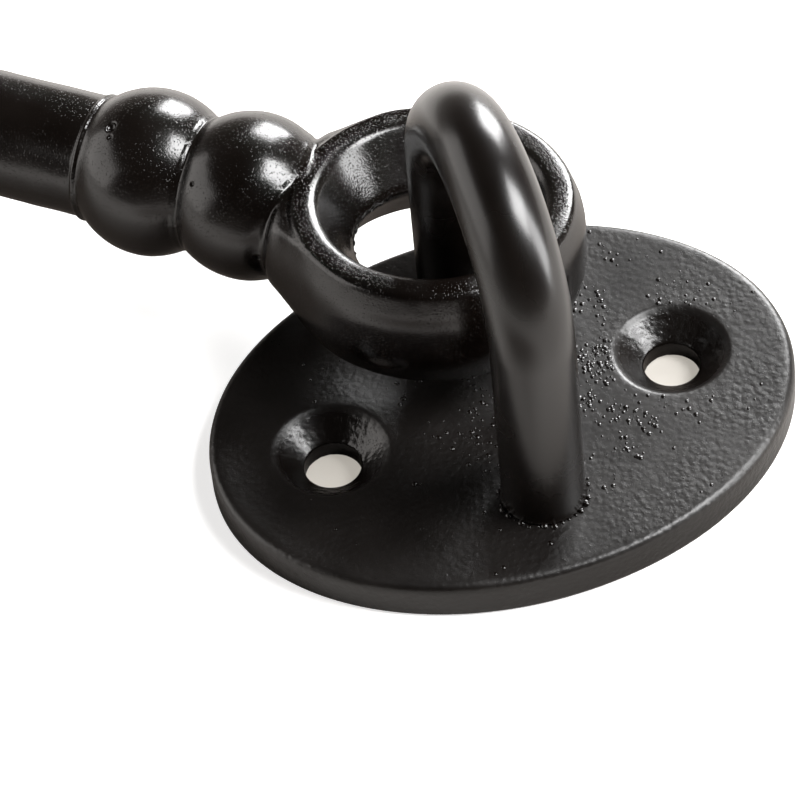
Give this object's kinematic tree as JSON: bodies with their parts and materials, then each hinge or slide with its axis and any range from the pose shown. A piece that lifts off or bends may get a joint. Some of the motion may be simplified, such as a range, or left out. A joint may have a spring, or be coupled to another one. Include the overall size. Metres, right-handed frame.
{
  "type": "cabin hook latch",
  "caption": "Black cast cabin hook: a beaded bar with a ring eye swings on the staple of an oval pivot plate, and its hook goes through the staple of an oval keeper plate.",
  "frame": {"origin": "centre of the pivot plate's back face", "axes": "+X along the bar from the pivot plate to the keeper plate, +Z out of the plates' faces, +Y the way the hook leaves the keeper"},
  "size_m": [0.1793, 0.0555, 0.0313],
  "materials": {
    "plate_coat": "satin black powder coat with a fine grain and scattered nibs, on a steel plate",
    "staple_coat": "smooth satin black powder coat on round steel rod",
    "bar_coat": "semi-gloss black coat on cast iron, with casting grain and a faint parting line"
  },
  "bodies": {
    "plates": {"pivot_plate": "plate_coat", "pivot_staple": "staple_coat", "keeper_plate": "plate_coat", "keeper_staple": "staple_coat"},
    "hook": {"hook_bar": "bar_coat"}
  },
  "joints": [
    {"name": "hook_swing", "type": "hinge", "parent": "plates", "child": "hook", "pos_m": [0.00591, -0.00705, 0.0097], "axis": [0, 0, 1], "range_deg": [0, 98]}
  ]
}
